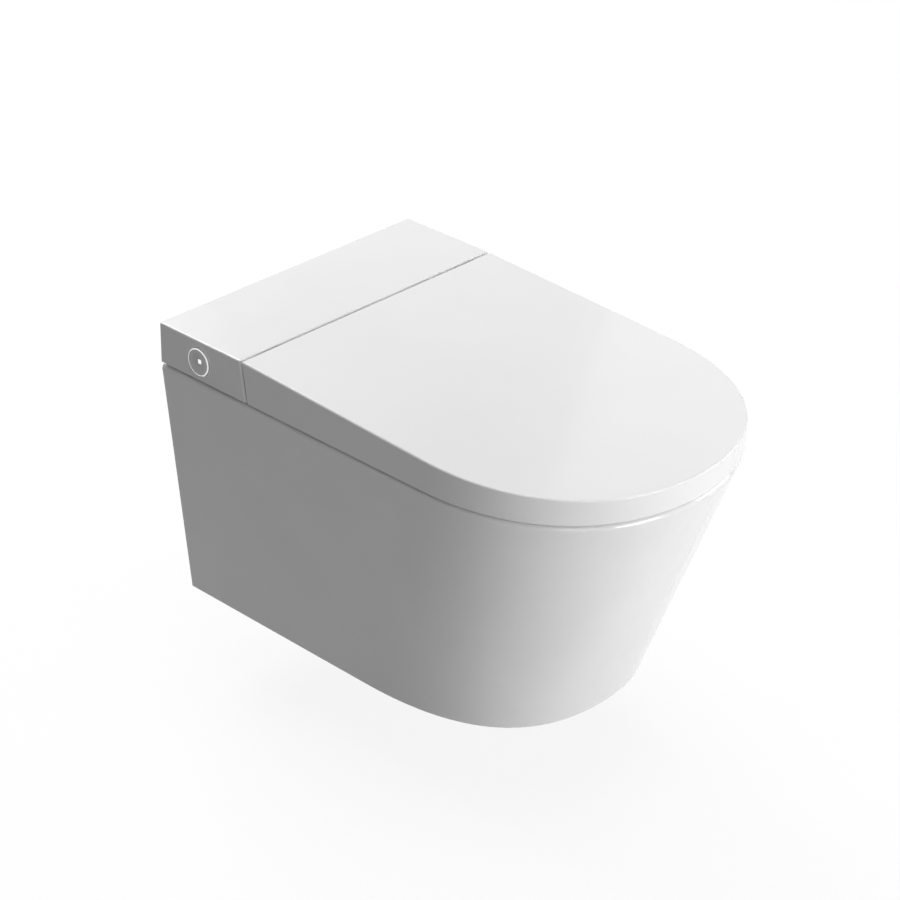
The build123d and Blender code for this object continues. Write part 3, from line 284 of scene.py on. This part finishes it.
def add_floor():
    """Pale floor that keeps the shadow near the pan and runs out into the white background."""
    t = Tree("floor_white")
    ring = t.add("ShaderNodeVectorMath", {0: t.place()}, operation="LENGTH")
    far = t.add("ShaderNodeMapRange", {"Value": ring.outputs["Value"]}, interpolation_type="SMOOTHSTEP")
    far.inputs["From Min"].default_value = floor_near
    far.inputs["From Max"].default_value = floor_far
    paint = t.add("ShaderNodeBsdfDiffuse", {"Color": t.ramp(t.noise(3.0), *floor_paint)})
    lift = t.add("ShaderNodeEmission", Color=white, Strength=floor_lift)
    near = t.add("ShaderNodeAddShader", {0: paint.outputs[0], 1: lift.outputs[0]})
    plain = t.add("ShaderNodeEmission", Color=white, Strength=1.0)
    seen = t.add("ShaderNodeMixShader", {0: far.outputs[0], 1: near.outputs[0], 2: plain.outputs[0]})
    bounce = t.add("ShaderNodeBsdfDiffuse", Color=(floor_bounce, floor_bounce, floor_bounce, 1.0))
    stage_shader(t.tree, t.output.inputs, seen, bounce)
    mesh = bpy.data.meshes.new("floor")
    low, high = -floor_half, floor_half
    corners = [(low, low, 0), (high, low, 0), (high, high, 0), (low, high, 0)]
    mesh.from_pydata(corners, [], [(0, 1, 2, 3)])
    mesh.materials.append(t.material)
    floor = bpy.data.objects.new("floor", mesh)
    floor.location = (0.0, aim.y, floor_z)
    scene.collection.objects.link(floor)


def set_world():
    """White where the camera looks past the floor, dim for everything else."""
    world = bpy.data.worlds.new("studio")
    world.use_nodes = True
    tree = world.node_tree
    tree.nodes.clear()
    output = tree.nodes.new("ShaderNodeOutputWorld")
    backgrounds = []
    for strength in (1.0, ambient):
        background = tree.nodes.new("ShaderNodeBackground")
        background.inputs["Strength"].default_value = strength
        background.inputs["Color"].default_value = white
        backgrounds.append(background)
    stage_shader(tree, output.inputs, *backgrounds)
    scene.world = world


def round_shading():
    """Node group that shades curved faces as round and keeps real edges crisp."""
    group = bpy.data.node_groups.new("round_shading", "GeometryNodeTree")
    group.interface.new_socket("Geometry", in_out="INPUT", socket_type="NodeSocketGeometry")
    group.interface.new_socket("Geometry", in_out="OUTPUT", socket_type="NodeSocketGeometry")
    start = group.nodes.new("NodeGroupInput")
    end = group.nodes.new("NodeGroupOutput")
    weld = group.nodes.new("GeometryNodeMergeByDistance")
    weld.inputs["Distance"].default_value = weld_distance
    faces = group.nodes.new("GeometryNodeSetShadeSmooth")
    faces.domain = "FACE"
    angle = group.nodes.new("GeometryNodeInputMeshEdgeAngle")
    gentle = group.nodes.new("FunctionNodeCompare")
    gentle.operation = "LESS_THAN"
    gentle.inputs["B"].default_value = crisp_angle
    edges = group.nodes.new("GeometryNodeSetShadeSmooth")
    edges.domain = "EDGE"
    group.links.new(start.outputs[0], weld.inputs["Geometry"])
    group.links.new(weld.outputs[0], faces.inputs[0])
    group.links.new(faces.outputs[0], edges.inputs[0])
    group.links.new(angle.outputs["Unsigned Angle"], gentle.inputs["A"])
    group.links.new(gentle.outputs[0], edges.inputs["Shade Smooth"])
    group.links.new(edges.outputs[0], end.inputs[0])
    return group


def smooth_all():
    """Smooth shading for every CAD node, by modifiers that leave its mesh as it is."""
    group = round_shading()
    for node in nodes.values():
        shading = node.modifiers.new("round_shading", "NODES")
        shading.node_group = group
        weighted = node.modifiers.new("weighted_normals", "WEIGHTED_NORMAL")
        weighted.keep_sharp = True


def dress(material, *names):
    """Gives CAD nodes a material."""
    for name in names:
        data = nodes[name].data
        data.materials.clear()
        data.materials.append(material)


def dress_all():
    """One procedural material for every node."""
    dress(glaze(), "ceramic_bowl")
    dress(moulding("cover_plastic", (0.84, 0.84, 0.84), coat=0.3), "housing_cover")
    dress(moulding("lid_plastic", (0.84, 0.84, 0.84), coat=0.3), "lid")
    dress(moulding("seat_plastic", (0.83, 0.83, 0.825), (0.19, 0.26)), "seat")
    dress(dial(), "knob_dial")
    dress(lit_window(), "knob_light")
    dress(moulding("nozzle_plastic", (0.78, 0.79, 0.80), (0.15, 0.22)), "nozzle_arm", "nozzle_tip",
          "feed_pipe", "pump_pipe")
    dress(moulding("inner_plastic", (0.28, 0.285, 0.30), (0.45, 0.6), 700.0, 0.0001), "unit_base",
          "left_hinge_block", "right_hinge_block", "nozzle_guide", "knob_plunger")
    dress(moulding("dark_plastic", (0.028, 0.028, 0.032), (0.4, 0.55), 700.0, 0.0001), "knob_housing",
          "knob_switch", "water_heater", "water_pump", "solenoid_valve", "power_gland", "power_supply")
    dress(rubber("pale_rubber", (0.5, 0.5, 0.5)), "seat_bumpers", "lid_bumpers")
    dress(rubber("rubber", (0.022, 0.022, 0.022)), "base_pads", "plate_dowels", "inlet_seal")
    dress(metal("steel", (0.60, 0.60, 0.61), (1.0, 14.0, 14.0)), "mounting_plate", "plate_bolts",
          "cover_screws", "hinge_screws", "hinge_pins", "nozzle_motor")
    dress(metal("brass", (0.72, 0.53, 0.26), (6.0, 6.0, 1.0)), "water_inlet", "drive_pinion")
    dress(board(), "control_board")


add_camera()
add_lamps()
set_world()
add_floor()
dress_all()
smooth_all()
scene.view_settings.view_transform = "Standard"
